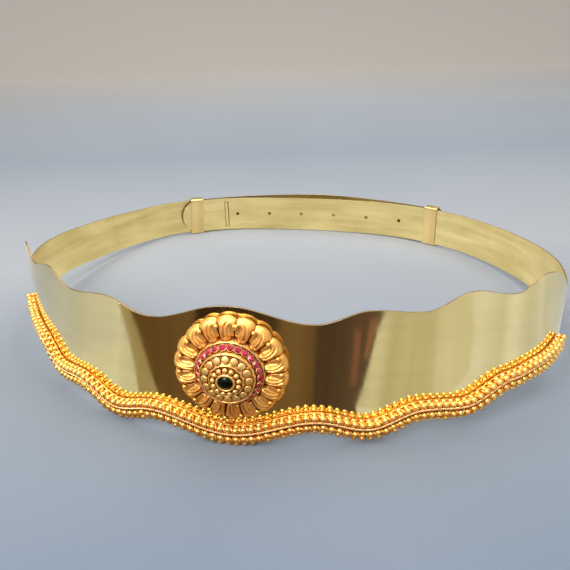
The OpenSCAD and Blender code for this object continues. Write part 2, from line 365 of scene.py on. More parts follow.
def thickened(piece, name, thickness, rounding, even=False, finishes=(0, 0), harden=False):
    """The surface with a wall and rounded edges, as a plain mesh; finishes are steps for its back and rim."""
    wall = piece.modifiers.new("wall", "SOLIDIFY")
    wall.thickness = thickness * MM
    wall.offset = 0.0
    wall.use_even_offset = even
    wall.material_offset, wall.material_offset_rim = finishes
    edges = piece.modifiers.new("edges", "BEVEL")
    edges.width = rounding * MM
    edges.segments = 2
    edges.limit_method = "ANGLE"
    edges.angle_limit = math.radians(50)
    edges.harden_normals = harden
    return plain_mesh(piece, name)


def hand_over(piece, slot, *nodes):
    """Rides the piece on the belt and hides the solids it stands for."""
    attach(piece, BODY)
    if nodes:
        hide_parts(*nodes)


# Materials


def grow(tree, kind, joined=(), **settings):
    """Adds a node, sets its properties or inputs by name, and joins inputs to the outputs given for them."""
    node = tree.nodes.new(kind)
    for label, value in settings.items():
        if hasattr(node, label):
            setattr(node, label, value)
        else:
            node.inputs[label.replace("_", " ")].default_value = value
    for socket, source in dict(joined).items():
        tree.links.new(source, node.inputs[socket])
    return node


class Finish:
    """A node material, with short ways to add its nodes."""

    def __init__(self, name, **values):
        self.material = bpy.data.materials.new(name)
        self.material.use_nodes = True
        self.tree = self.material.node_tree
        self.shader = self.tree.nodes["Principled BSDF"]
        for label, value in values.items():
            self.shader.inputs[label.replace("_", " ")].default_value = value

    def add(self, kind, joined=(), **settings):
        return grow(self.tree, kind, joined, **settings)

    def show(self, **sources):
        """Joins the shader's inputs, by name, to their sources."""
        for label, source in sources.items():
            self.tree.links.new(source, self.shader.inputs[label.replace("_", " ")])

    def noise(self, coordinates, scale, stretch=(1, 1, 1), detail=3.0):
        mapped = self.add("ShaderNodeMapping", {"Vector": coordinates}, Scale=stretch).outputs["Vector"]
        return self.add("ShaderNodeTexNoise", {"Vector": mapped}, Scale=scale, Detail=detail).outputs["Fac"]

    def ramp(self, value, low, high, stops):
        """Colour ramp over a narrow part of a noise's range."""
        ramp = self.add("ShaderNodeValToRGB", {"Fac": value})
        set_stops(ramp, (low, high), stops)
        return ramp.outputs["Color"]

    def spread(self, value, low, high, to_low, to_high):
        """The range from low to high spread evenly over another one."""
        limits = {"From_Min": low, "From_Max": high, "To_Min": to_low, "To_Max": to_high}
        return self.add("ShaderNodeMapRange", {"Value": value}, **limits).outputs["Result"]

    def maths(self, operation, *values):
        return self.add("ShaderNodeMath", dict(enumerate(values)), operation=operation).outputs[0]

    def mix(self, share, low, high):
        """Blend of two colours, each of them a constant or a source."""
        node = self.add("ShaderNodeMix", {0: share}, data_type="RGBA")
        for socket, colour in zip(node.inputs[6:8], (low, high)):
            if isinstance(colour, tuple):
                socket.default_value = (*colour, 1)
            else:
                self.tree.links.new(colour, socket)
        return node.outputs[2]

    def rise_and_fall(self, value, start, full, full_end, end):
        """1 between full and full_end, and evenly down to 0 on either side of them."""
        rise = self.spread(value, start, full, 0.0, 1.0)
        return self.maths("MINIMUM", rise, self.spread(value, full_end, end, 1.0, 0.0))

    def bump(self, heights):
        """Stacks (height, strength, distance in metres) bumps on the shader's normal."""
        below = {}
        for height, strength, distance in heights:
            joined = {"Height": height, **below}
            node = self.add("ShaderNodeBump", joined, Strength=strength, Distance=distance)
            below = {"Normal": node.outputs["Normal"]}
        self.show(**below)


def set_stops(ramp, places, colours):
    for stop, position, colour in zip(ramp.color_ramp.elements, places, colours):
        stop.position = position
        stop.color = (*colour, 1)


def sheet_finish(name, light, dark, roughness, scratch):
    """Plated sheet: faint lines along and across it, fine scratches, and smudges that dull it."""
    finish = Finish(name, Metallic=1.0)
    along = finish.add("ShaderNodeUVMap", uv_map="sheet").outputs["UV"]
    smudge = finish.noise(along, 28.0, (1, 1.6, 1), 4.0)
    brushed = finish.noise(along, 900.0, (0.05, 1, 1), 2.0)
    scratches = finish.noise(along, 420.0, (0.14, 1.9, 1), 5.0)
    wiped = finish.noise(along, 520.0, (1.9, 0.1, 1), 4.0)
    drawn = finish.noise(along, 70.0, (0.22, 2.4, 1), 5.0)
    handled = finish.maths("MULTIPLY", smudge, drawn)
    dull = finish.spread(handled, 0.14, 0.40, *roughness)
    finish.show(Base_Color=finish.ramp(handled, 0.16, 0.38, (light, dark)), Roughness=dull)
    finish.bump([(brushed, scratch, 0.00004), (scratches, scratch, 0.00003), (wiped, scratch, 0.00004)])
    return finish.material


def gold_finish(name, light, dark, crevice_shade, roughness, grain, metal=0.78, shelter_depth=0.0009):
    """Matt plated gold with a soft grain, a little redder in patches, and darker and redder in its crevices
    as painted shade.
    """
    finish = Finish(name, Metallic=metal)
    where = finish.add("ShaderNodeTexCoord").outputs["Object"]
    patches = finish.noise(where, 260.0)
    fine = finish.noise(where, 2600.0, detail=4.0)
    # Painted shade: the crevice colour is mixed in wherever the AO node finds a crevice or hollow.
    shelter = finish.add("ShaderNodeAmbientOcclusion", samples=8, Distance=shelter_depth)
    open_air = finish.spread(shelter.outputs["AO"], 0.35, 0.9, 0.0, 1.0)
    tone = finish.mix(open_air, crevice_shade, finish.ramp(patches, 0.38, 0.66, (light, dark)))
    finish.show(Base_Color=tone, Roughness=finish.spread(fine, 0.3, 0.7, *roughness))
    finish.bump([(fine, grain, 0.00004)])
    return finish.material


def stone_finish(name, light, dark, transmission, ior, gloss):
    """Smooth stone, a little clouded."""
    finish = Finish(name, Transmission_Weight=transmission, Roughness=0.05, IOR=ior, Coat_Weight=gloss)
    where = finish.add("ShaderNodeTexCoord").outputs["Object"]
    clouds = finish.noise(where, 700.0, detail=2.0)
    finish.show(Base_Color=finish.ramp(clouds, 0.35, 0.65, (light, dark)))
    return finish.material


POLISHED = sheet_finish("polished brass", (0.82, 0.74, 0.45), (0.77, 0.69, 0.41), (0.07, 0.15), 0.1)
BRUSHED = sheet_finish("brushed brass", (0.87, 0.74, 0.37), (0.66, 0.54, 0.23), (0.22, 0.40), 0.4)
KEEPER = sheet_finish("keeper brass", (0.86, 0.68, 0.32), (0.74, 0.57, 0.25), (0.22, 0.36), 0.4)
# The third colour of each gold below is painted shade, for its crevices.
BEAD_GOLD = gold_finish(
    "bead gold", (1.0, 0.70, 0.22), (0.98, 0.60, 0.14), (0.50, 0.15, 0.02), (0.13, 0.22), 0.2
)
# Painted shade: the cores between the beads are deep orange-red, for the shade in the strands' crevices.
SHADED_CORE_GOLD = gold_finish(
    "core gold", (0.96, 0.42, 0.07), (0.85, 0.32, 0.04), (0.40, 0.09, 0.01), (0.28, 0.42), 0.2
)
WIRE_GOLD = gold_finish(
    "wire gold", (1.0, 0.70, 0.34), (0.98, 0.62, 0.27), (0.90, 0.45, 0.16), (0.24, 0.36), 0.2, metal=0.7
)
# Painted shade: the solder fills the gap between strand and plate in deep orange, for the shade there.
SHADED_SOLDER = gold_finish("solder", (0.90, 0.40, 0.06), (0.66, 0.24, 0.03), (0.42, 0.12, 0.01), (0.42, 0.58), 0.4)
# Painted shade: the dark brown band lines the channel behind the rubies, where shade falls between them.
BAND_SHADE_GOLD = gold_finish(
    "shaded band", (0.30, 0.10, 0.03), (0.18, 0.05, 0.015), (0.10, 0.02, 0.006), (0.35, 0.50), 0.3
)
MEDALLION_GOLD = gold_finish(
    "medallion gold", (1.0, 0.66, 0.23), (0.97, 0.56, 0.16), (0.36, 0.08, 0.02), (0.26, 0.40), 0.3
)
PETAL_GOLD = gold_finish(
    "petal gold", (1.0, 0.59, 0.17), (0.96, 0.48, 0.11), (0.32, 0.06, 0.01), (0.35, 0.50), 0.3,
    metal=0.86, shelter_depth=0.0014,
)
# Painted shade: the rim behind the petals is darker and redder than the medallion's gold.
SHADED_RIM_GOLD = gold_finish(
    "shaded rim gold", (0.80, 0.38, 0.09), (0.66, 0.28, 0.05), (0.26, 0.06, 0.01), (0.30, 0.44), 0.3
)
TAB_BRASS = gold_finish(
    "tab brass", (0.82, 0.68, 0.34), (0.72, 0.57, 0.26), (0.24, 0.13, 0.03), (0.26, 0.40), 0.2
)
# Painted shade: the sheet's rim is dark brown, so its edges show no bright glints.
SHADED_CUT_EDGE = gold_finish(
    "shaded cut edge", (0.34, 0.24, 0.12), (0.24, 0.16, 0.08), (0.16, 0.09, 0.03), (0.45, 0.60), 0.3, metal=0.9
)
RUBY = stone_finish("ruby", (0.60, 0.008, 0.085), (0.26, 0.002, 0.03), 0.2, 1.6, 0.5)
GREEN_STONE = stone_finish("dark green stone", (0.001, 0.005, 0.003), (0.0005, 0.002, 0.001), 0.0, 1.3, 0.0)


# Sheet


def fastening_holes():
    """Outlines, in distance along and height, of the size holes and the clasp slot."""
    circle = round_path(HOLE_D / 2, 0, HOLE_SIDES)[:, :2]
    outlines = [circle + (FIRST_HOLE + i * HOLE_PITCH, 0) for i in range(HOLE_COUNT)]
    corners = [(-1, -1), (1, -1), (1, 1), (-1, 1)]
    sides = []
    for (x0, y0), (x1, y1) in zip(corners, corners[1:] + corners[:1]):
        steps = 3 if y0 == y1 else 14
        for w in np.arange(steps) / steps:
            x, y = x0 + (x1 - x0) * w, y0 + (y1 - y0) * w
            sides.append((SLOT_PLACE + x * SLOT_W / 2, y * SLOT_H / 2))
    return outlines + [np.array(sides)]


def sheet_stations():
    """Distances along the sheet at which its edges have points, closer together on the plate and tongue."""
    start = OUTER_STRAP_END - LOOP_LENGTH
    plate = np.arange(-PLATE_END, PLATE_END + 0.1, 1.0)
    left = np.linspace(start, -PLATE_END, STRAP_STATIONS)[:-1]
    right = np.linspace(PLATE_END, TONGUE_TIP - STRAP_H / 2, STRAP_STATIONS)[1:]
    tip = TONGUE_TIP - STRAP_H / 2 * (1 - np.sin(np.radians(np.arange(4, 90, 4))))
    return np.concatenate([left, plate, right, tip])


def sheet_flat():
    """The sheet before it is bent: points in distance along and height, and triangles."""
    stations = sheet_stations()
    low, high = sheet_edge(stations, -1), sheet_edge(stations, 1)
    lower = np.stack([stations, low], axis=-1)
    upper = np.stack([stations, high], axis=-1)
    outline = np.vstack([lower, [(TONGUE_TIP, 0.0)], upper[::-1]])
    loops = [outline] + fastening_holes()
    points = list(np.vstack(loops))
    edges, base = [], 0
    for loop in loops:
        edges += [(base + k, base + n) for k, n in neighbours(len(loop))]
        base += len(loop)
    rows = np.linspace(0, 1, SHEET_ROWS)[1:-1]
    holes = [(loop.mean(axis=0), np.ptp(loop, axis=0) / 2) for loop in loops[1:]]
    for s, z0, z1 in zip(stations[::2], low[::2], high[::2]):
        if z1 - z0 < 4:
            continue
        for z in z0 + (z1 - z0) * rows:
            if all(np.any(np.abs((s, z) - middle) > half + HOLE_MARGIN) for middle, half in holes):
                points.append((s, z))
    flat, _, triangles, *_ = delaunay_2d_cdt([Vector(p) for p in points], edges, [], 1, 1e-4)
    flat = np.array([tuple(p) for p in flat])
    centres = np.array([flat[list(t)].mean(axis=0) for t in triangles])
    inside_hole = np.zeros(len(centres), bool)
    for middle, half in holes:
        apart = np.abs(centres - middle)
        if abs(half[0] - half[1]) < 0.1:
            inside_hole |= np.hypot(*apart.T) < half[0] * 0.98
        else:
            inside_hole |= np.all(apart < half, axis=1)
    return flat, [tuple(t) for t, gone in zip(triangles, inside_hole) if not gone]


def sheet_surface(along, z):
    return place(along, z, sheet_offset(along) + hand_ripple(along, z))


def sheet_normals(along, z):
    """Outward normals of the bent sheet, on the table."""
    step = 0.2
    ahead = sheet_surface(along + step, z) - sheet_surface(along - step, z)
    above = sheet_surface(along, z + step) - sheet_surface(along, z - step)
    return unit(np.cross(ahead, above)) @ np.array(SEATED)[:3, :3].T


def make_sheet():
    flat, triangles = sheet_flat()
    points = seated(sheet_surface(flat[:, 0], flat[:, 1]))
    piece = mesh_piece("sheet", points, triangles, [POLISHED, BRUSHED, SHADED_CUT_EDGE])
    corners = np.zeros(len(piece.data.loops), int)
    piece.data.loops.foreach_get("vertex_index", corners)
    layer = piece.data.uv_layers.new(name="sheet")
    layer.data.foreach_set("uv", (flat[corners] * MM).ravel())
    piece = thickened(piece, "sheet", SHEET_T, SHEET_ROUNDING, even=True, finishes=(1, 2))
    smooth_broad_faces(piece.data)
    hand_over(piece, "polished_brass", "belt_sheet")


def smooth_broad_faces(mesh):
    """Gives the two broad faces the bent sheet's own normals, so that they mirror without facets."""
    uv = np.zeros(len(mesh.loops) * 2)
    mesh.uv_layers["sheet"].data.foreach_get("uv", uv)
    along, z = uv.reshape(-1, 2).T / MM
    normals = sheet_normals(along, z)
    custom = np.zeros((len(mesh.loops), 3))
    for polygon in mesh.polygons:
        loops = list(polygon.loop_indices)
        side = np.dot(normals[loops[0]], polygon.normal)
        if abs(side) > 0.99:
            custom[loops] = normals[loops] * np.sign(side)
    mesh.normals_split_custom_set([tuple(n) for n in custom])


# Keepers and clasp tab


def make_keeper(name, along, lean):
    """A flat band bent round both straps, its edges eased and its bends rounded."""
    depth = STRAP_GAP + SHEET_T + 2 * KEEPER_ROOM
    inner = -SHEET_T / 2 - KEEPER_ROOM
    half = STRAP_H / 2 + KEEPER_ROOM
    t = KEEPER_T / 2
    corners = np.array([
        (-half - t, inner - t),
        (half + t, inner - t),
        (half + t + KEEPER_BACK_RISE, inner + depth + t),
        (-half - t, inner + depth + t),
    ])
    outline = []
    for before, corner, after in zip(np.roll(corners, 1, axis=0), corners, np.roll(corners, -1, axis=0)):
        start = corner + unit(before - corner) * KEEPER_BEND
        end = corner + unit(after - corner) * KEEPER_BEND
        next_start = after + unit(corner - after) * KEEPER_BEND
        for w in np.linspace(0, 1, 7):
            outline.append((1 - w) ** 2 * start + 2 * w * (1 - w) * corner + w**2 * end)
        for w in np.linspace(0, 1, 12)[1:-1]:
            outline.append(end + (next_start - end) * w)
    outline = np.array(outline)
    xs = np.linspace(-KEEPER_W / 2, KEEPER_W / 2, 7)
    points = [(x, up, out) for x in xs for up, out in outline]
    faces = quads(len(xs), len(outline), True, False)
    turn = on_belt(along, 0) @ Matrix.Rotation(lean, 4, "Z")
    piece = mesh_piece(name, seated(moved(points, turn)), faces, [KEEPER])
    layer = piece.data.uv_layers.new(name="sheet")
    run = run_along(outline)
    for loop in piece.data.loops:
        i, k = divmod(loop.vertex_index, len(outline))
        layer.data[loop.index].uv = (run[k] * MM, xs[i] * MM)
    piece = thickened(piece, name, KEEPER_T, KEEPER_ROUNDING, harden=True)
    hand_over(piece, "keeper_brass", name.replace("band", "keeper"))


# Bead strands


def trim_middle(along):
    return lobe_height(along, 3) + (STRAND_PITCH + STRAND_D) / 2


def strand_line(along, side, out=0.0):
    """Middle line of a strand: side 1 is the upper one, -1 the lower one, 0 the joint between them."""
    slope = trim_middle(along + 0.5) - trim_middle(along - 0.5)
    length = np.hypot(slope, 1)
    d = side * STRAND_PITCH / 2
    off = (SHEET_T + STRAND_D) / 2 + CLEARANCE + out
    return place(along - slope / length * d, trim_middle(along) + d / length, off)


def new_tree(name, inputs):
    """Geometry Nodes tree with named inputs, ready for its nodes."""
    tree = bpy.data.node_groups.new(name, "GeometryNodeTree")
    tree.interface.new_socket("Geometry", in_out="INPUT", socket_type="NodeSocketGeometry")
    for label, kind in inputs:
        tree.interface.new_socket(label, in_out="INPUT", socket_type="NodeSocket" + kind)
    tree.interface.new_socket("Geometry", in_out="OUTPUT", socket_type="NodeSocketGeometry")
    return tree


def run_tree(piece, tree, name, **values):
    """Runs the tree on the piece and returns the result as a plain mesh object."""
    modifier = piece.modifiers.new(tree.name, "NODES")
    modifier.node_group = tree
    for item in tree.interface.items_tree:
        key = item.name.replace(" ", "_").lower()
        if item.in_out == "INPUT" and key in values:
            modifier[item.identifier] = values[key]
    return plain_mesh(piece, name)


def about_z(tree, angle):
    """Rotation about the Z axis, for a tree."""
    angles = grow(tree, "ShaderNodeCombineXYZ", {"Z": angle}).outputs[0]
    return grow(tree, "FunctionNodeEulerToRotation", {0: angles}).outputs[0]


def copies_at(tree, points, item, label, source):
    """Copies of an item at points, with their rotation or scale from a source."""
    joined = {"Points": points, "Instance": item, label: source}
    return grow(tree, "GeometryNodeInstanceOnPoints", joined).outputs[0]


def finish_tree(tree, geometry, finish):
    """Ends a tree: real meshes, smooth shading, one material."""
    real = grow(tree, "GeometryNodeRealizeInstances", {0: geometry})
    smooth = grow(tree, "GeometryNodeSetShadeSmooth", {0: real.outputs[0]})
    coloured = grow(tree, "GeometryNodeSetMaterial", {0: smooth.outputs[0], "Material": finish})
    grow(tree, "NodeGroupOutput", {0: coloured.outputs[0]})


def bead_strand_tree():
    """Rings of beads along a curve, each ring turned a little and each bead a little larger or smaller."""
    numbers = [(label, "Float") for label in ("Pitch", "Ring Radius", "Bead Radius", "Turn", "Wobble")]
    tree = new_tree("bead_strand", numbers + [("Beads", "Int"), ("Seed", "Int"), ("Finish", "Material")])
    given = grow(tree, "NodeGroupInput").outputs
    along = {"Curve": given["Geometry"], "Length": given["Pitch"]}
    stations = grow(tree, "GeometryNodeCurveToPoints", along, mode="LENGTH").outputs
    circle = {"Vertices": given["Beads"], "Radius": given["Ring Radius"]}
    ring = grow(tree, "GeometryNodeMeshCircle", circle).outputs["Mesh"]
    limits = {0: given["Turn"], 1: given["Wobble"]}
    least = grow(tree, "ShaderNodeMath", limits, operation="SUBTRACT")
    most = grow(tree, "ShaderNodeMath", limits, operation="ADD")
    draw = {2: least.outputs[0], 3: most.outputs[0], "Seed": given["Seed"]}
    turn = grow(tree, "FunctionNodeRandomValue", draw, data_type="FLOAT")
    both = {"Rotation": stations["Rotation"], "Rotate By": about_z(tree, turn.outputs[1])}
    turned = grow(tree, "FunctionNodeRotateRotation", both, rotation_space="LOCAL").outputs[0]
    rings = copies_at(tree, stations["Points"], ring, "Rotation", turned)
    places = grow(tree, "GeometryNodeRealizeInstances", {0: rings}).outputs[0]
    size = grow(tree, "FunctionNodeRandomValue", {"Seed": given["Seed"]}, data_type="FLOAT")
    size.inputs[2].default_value, size.inputs[3].default_value = BEAD_SIZES
    bead = grow(tree, "GeometryNodeMeshUVSphere", {"Radius": given["Bead Radius"]})
    bead.inputs["Segments"].default_value, bead.inputs["Rings"].default_value = BEAD_FACES
    beads = copies_at(tree, places, bead.outputs["Mesh"], "Scale", size.outputs[1])
    finish_tree(tree, beads, given["Finish"])
    return tree


def ring_tree():
    """Copies of one item turned round the medallion's axis."""
    angles = [("Turn", "Float"), ("Step", "Float")]
    tree = new_tree("ring_of", [("Count", "Int"), *angles, ("Item", "Object"), ("Finish", "Material")])
    given = grow(tree, "NodeGroupInput").outputs
    places = grow(tree, "GeometryNodePoints", {"Count": given["Count"]}).outputs[0]
    index = grow(tree, "GeometryNodeInputIndex").outputs[0]
    steps = {0: index, 1: given["Step"], 2: given["Turn"]}
    angle = grow(tree, "ShaderNodeMath", steps, operation="MULTIPLY_ADD").outputs[0]
    item = grow(tree, "GeometryNodeObjectInfo", {"Object": given["Item"]}).outputs["Geometry"]
    copies = copies_at(tree, places, item, "Rotation", about_z(tree, angle))
    finish_tree(tree, copies, given["Finish"])
    return tree


def curve_through(name, points):
    curve = bpy.data.curves.new(name, "CURVE")
    curve.dimensions = "3D"
    curve.twist_mode = "Z_UP"
    spline = curve.splines.new("POLY")
    spline.points.add(len(points) - 1)
    for point, at in zip(spline.points, points):
        point.co = (*at, 1.0)
    return in_scene(name, curve)


def twisted_wire(path, wire_r, lay_r, turn_length, plies=2, sides=6):
    """Plies of round wire twisted round a path of points."""
    run = run_along(path)
    s = np.linspace(0, run[-1], int(run[-1] / turn_length * 10))
    middle = np.stack([np.interp(s, run, path[:, k]) for k in range(3)], axis=-1)
    side, over = sideways(middle)
    parts = []
    for ply in range(plies):
        phase = 2 * np.pi * (s / turn_length + ply / plies)
        line = middle + lay_r * (np.cos(phase)[:, None] * side + np.sin(phase)[:, None] * over)
        parts.append(tube(line, wire_r, sides))
    return gathered(parts)


def make_trim(strand_tree):
    """Two strands of bead rings on twisted cores, solder along the plate, and a wire over their joint."""
    reach = TRIM_REACH - 1.0
    along = np.arange(-reach, reach + 0.1, 1.5)
    for name, side, turn, seed, node_name in STRANDS:
        line = strand_line(along, side)
        beads = run_tree(
            curve_through(name + "_guide", seated(line)),
            strand_tree,
            name,
            pitch=STRAND_BEAD_PITCH * MM,
            ring_radius=STRAND_RING_R * MM,
            beads=RING_BEADS,
            bead_radius=STRAND_BEAD_R * MM,
            turn=turn,
            wobble=RING_WOBBLE,
            seed=seed,
            finish=BEAD_GOLD,
        )
        hand_over(beads, "bead_gold", node_name)
        core = closed_piece(name + "_core", twisted_wire(line[1:-1], *CORE_WIRE), SHADED_CORE_GOLD)
        hand_over(core, "bead_gold")
    seam = np.arange(-reach, reach + 0.1, 0.6)
    uneven = SOLDER_R + 0.13 * np.sin(seam * 1.9) + 0.09 * np.sin(seam * 3.3 + 1.0)
    solder = tube(strand_line(seam, *SOLDER_PLACE), uneven, 10)
    hand_over(closed_piece("solder_line", solder, SHADED_SOLDER), "bead_gold")
    wire = twisted_wire(strand_line(along, *JOINT_PLACE), *JOINT_WIRE)
    hand_over(closed_piece("strand_wire", wire, WIRE_GOLD), "bead_gold")


# Medallion

ON_MEDALLION = on_belt(MEDALLION_ALONG, MEDALLION_Z, SHEET_T / 2 + CLEARANCE)
ON_PETALS = ON_MEDALLION @ Matrix.Rotation(PETAL_TURN, 4, "Z")
RIM_R, RIM_T, RIM_SCALLOP, SCALLOP_SIDES = 21.6, 1.0, 1.35, 14
BAND_R, BAND_Z, BAND_TILT = 11.85, 6.75, math.radians(53)
DISC_R, DISC_Z, DISC_TILT = 8.2, 9.35, math.radians(21)
# Wires laid round the steps: distance out, height, radius
RING_WIRES = ((12.85, 5.1, 0.34), (10.1, 8.85, 0.34), (6.3, 10.3, 0.3))
# Granules where the petals' two halves part: one above, and a small pile below
GRANULES = (
    (0, 18.4, 4.0, 0.85),
    (0, -21.1, 3.5, 0.8), (-1.15, -22.1, 3.4, 0.8), (1.2, -22.2, 3.4, 0.8), (0.05, -23.2, 3.4, 0.8),
)

# Spine of a mango petal: distance out, sideways curl, height, reach on the belly's side and on the curl's
PETAL_SPINE = np.array([
    [13.0, -0.1, 4.6, 1.9, 1.5],
    [14.0, -0.3, 5.2, 2.1, 1.8],
    [15.2, -0.55, 5.6, 2.3, 1.9],
    [16.8, -0.6, 5.5, 2.6, 1.75],
    [18.3, -0.35, 5.0, 3.0, 1.5],
    [19.4, 0.3, 4.4, 3.3, 1.25],
    [20.2, 1.2, 3.9, 2.2, 1.1],
    [20.5, 2.2, 3.6, 1.5, 1.0],
    [20.3, 3.0, 3.4, 1.3, 0.8],
])
PETAL_FOOT, PETAL_ROOT, PETAL_TIP, PETAL_NOTCH = 1.0, 13.15, 21.7, 1.3
PETAL_EDGE, PETAL_ROLL, PETAL_GAP = 1.5, 2.4, 0.04
# Grooves along a petal: place across it, half width, depth
GROOVE_LINES = ((-0.55, 0.09, 0.35), (-0.14, 0.16, 1.0), (0.42, 0.17, 1.0), (0.98, 0.14, 0.5))
MILGRAIN_LINE, MILGRAIN_PITCH, MILGRAIN_R = 0.42, 0.6, 0.26


def smooth_rows(rows, count):
    """Rows of a table at evenly spread places, by a curve through them all."""
    padded = np.vstack([2 * rows[0] - rows[1], rows, 2 * rows[-1] - rows[-2]])
    x = np.linspace(0, len(rows) - 1, count)
    i = np.minimum(x.astype(int), len(rows) - 2)
    return through(*(padded[i + k] for k in range(4)), (x - i)[:, None])


SPINE = smooth_rows(PETAL_SPINE, 120)
SPINE_WAY = unit(np.gradient(SPINE[:, :2], axis=0))


def petal_heights(x, y):
    """Height of a petal's top: a belly beside its curled spine, ridges along it, and a valley in the curl."""
    apart = np.stack([x, y], axis=-1)[..., None, :] - SPINE[:, :2]
    nearest = np.argmin((apart**2).sum(axis=-1), axis=-1)
    gap = np.take_along_axis(apart, nearest[..., None, None], axis=-2)[..., 0, :]
    ahead = SPINE_WAY[nearest]
    side = ahead[..., 0] * gap[..., 1] - ahead[..., 1] * gap[..., 0]
    across = np.where(side < 0, side / SPINE[nearest, 3], side / SPINE[nearest, 4])
    mound = 1.8 + (SPINE[nearest, 2] - 1.8) * np.sqrt(np.clip(1 - across**2, 0, 1))
    for line, half, depth in GROOVE_LINES:
        mound = mound - depth * np.exp(-(((across - line) / half) ** 2)) * ease((x - 13.6) / 1.5)
    valley = 2.2 + 1.6 * ease((x - 13.7) / 1.6)
    return np.log(np.exp(4 * mound) + np.exp(4 * valley)) / 4


def petal_shape(mirror):
    """A mango petal that fills its part of the ring, with a milgrain line and a granule in its curl."""
    rows, columns = 44, 30
    out = np.linspace(0, 1, rows)[:, None]
    across = np.linspace(-1, 1, columns)[None, :]
    tip = PETAL_TIP - PETAL_NOTCH * np.abs(across) ** 2.4
    x = PETAL_ROOT + (tip - PETAL_ROOT) * out**0.85
    half = x * math.tan(math.pi / PETALS) - PETAL_GAP
    y = across * half
    roll = np.clip((tip - x) / PETAL_ROLL, 0, 1)
    z = PETAL_EDGE + (petal_heights(x, y) - PETAL_EDGE) * np.sqrt(1 - (1 - roll) ** 2)
    z = z - 0.9 * np.clip(1 - (1 - np.abs(across)) * half / 0.5, 0, 1) ** 2 * roll
    top = np.stack([x, y, z], axis=-1).reshape(-1, 3)
    faces = quads(rows, columns, False, False)
    border = list(range(columns))
    border += [i * columns + columns - 1 for i in range(1, rows)]
    border += [(rows - 1) * columns + k for k in range(columns - 2, -1, -1)]
    border += [i * columns for i in range(rows - 2, 0, -1)]
    base = len(top)
    low = top[border] * (1, 1, 0) + (0, 0, PETAL_FOOT)
    faces += [(border[k], border[n], base + n, base + k) for k, n in neighbours(len(border))]
    faces.append(tuple(base + k for k in range(len(border))))
    parts = [(np.vstack([top, low]), faces)]
    leftwards = np.stack([-SPINE_WAY[:, 1], SPINE_WAY[:, 0]], axis=-1)
    strip = SPINE[:, :2] + leftwards * (MILGRAIN_LINE * SPINE[:, 4:])
    run = run_along(strip)
    for distance in np.arange(1.3, run[-1] - 1.6, MILGRAIN_PITCH):
        spot = [np.interp(distance, run, strip[:, k]) for k in (0, 1)]
        level = petal_heights(np.array(spot[0]), np.array(spot[1]))
        parts.append(ball(MILGRAIN_R, (*spot, float(level)), 8, 5))
    parts.append(ball(0.85, (18.9, 3.0, 4.3), 14, 9))
    points, faces = gathered(parts)
    return (points * (1, -1, 1) if mirror else points), faces


def ring_of_wire(path, radius):
    """Closed loop of round wire along a closed path round the medallion's axis."""
    tangent = unit(np.roll(path, -1, axis=0) - np.roll(path, 1, axis=0))
    up = np.broadcast_to((0.0, 0.0, 1.0), path.shape)
    return skin(path[:, None] + radius * circles(unit(np.cross(tangent, up)), up, 10), wrap=True)


def scalloped_rim():
    """Thin plate behind the petals, with a scallop for each and a fine wire along its edge."""
    sides = PETALS * SCALLOP_SIDES
    lobe = np.abs(np.cos(full_turn(sides) * PETALS / 2)) ** 0.7
    edge = RIM_R - RIM_SCALLOP + RIM_SCALLOP * lobe
    levels = [(-3.0, 0.0), (-0.12, 0.0), (0.0, 0.12), (0.0, RIM_T - 0.12), (-0.12, RIM_T), (-3.0, RIM_T)]
    plate = skin([round_path(edge + wider, z, sides) for wider, z in levels])
    return gathered([plate, ring_of_wire(round_path(edge - 0.1, RIM_T, sides), 0.2)])


def stepped_body():
    """Turned drum with a channel for the rubies, a shelf for the discs and one for the bead ring."""
    profile = [
        (0, 0), (13.2, 0), (13.3, 0.2), (13.3, 4.2), (13.1, 4.8), (12.8, 5.0), (12.5, 4.9), (12.0, 5.2),
        (10.9, 6.6), (10.4, 7.5), (10.35, 8.3), (10.2, 8.7), (9.9, 8.7), (9.5, 8.45), (8.2, 8.85),
        (6.8, 9.4), (6.55, 10.0), (6.3, 10.15), (6.0, 9.95), (4.8, 9.9), (0, 9.9),
    ]
    return lathe(profile, 96)


def ruby_band():
    """Thin skin of the channel behind the rubies, dark brown as painted shade."""
    profile = [
        (12.55, 4.98), (12.08, 5.25), (10.98, 6.65), (10.48, 7.52),
        (10.2, 7.4), (10.7, 6.5), (11.8, 5.1), (12.3, 4.85),
    ]
    return skin([[(r * np.cos(a), r * np.sin(a), z) for r, z in profile] for a in full_turn(96)], wrap=True)


def bezel():
    profile = [
        (0, 9.5), (4.0, 9.6), (3.9, 10.1), (3.75, 10.9), (3.6, 11.5), (3.4, 11.85), (3.1, 11.98),
        (2.85, 11.85), (2.66, 11.4), (2.62, 10.4), (0, 10.35),
    ]
    return lathe(profile, 64)


def tilted(points, out, z, tilt):
    """Points of an item about its own axis, leant outwards by a tilt and set at a radius and height."""
    return moved(points, Matrix.Translation((out, 0, z)) @ Matrix.Rotation(tilt, 4, "Y"))


def collar_shape():
    """Thin collar of a ruby, with two pin-head prongs beside it."""
    profile = [
        (0, -0.85), (1.4, -0.85), (1.42, -0.12), (1.39, 0.02),
        (1.34, 0.05), (1.29, 0.0), (1.28, -0.7), (0, -0.7),
    ]
    prongs = [ball(0.2, centre, 8, 6) for centre in ((-0.9, 1.43, 0.1), (0.9, 1.4, 0.1))]
    points, faces = gathered([lathe(profile, 20), *prongs])
    return tilted(points, BAND_R, BAND_Z, BAND_TILT), faces


def disc_shape():
    """Disc with a softly domed face."""
    profile = [
        (0, -0.6), (1.38, -0.6), (1.47, -0.3), (1.47, 0.2), (1.41, 0.36), (1.26, 0.47), (0.9, 0.57),
        (0.45, 0.63), (0, 0.65),
    ]
    points, faces = lathe(profile, 18)
    return tilted(points, DISC_R, DISC_Z, DISC_TILT), faces


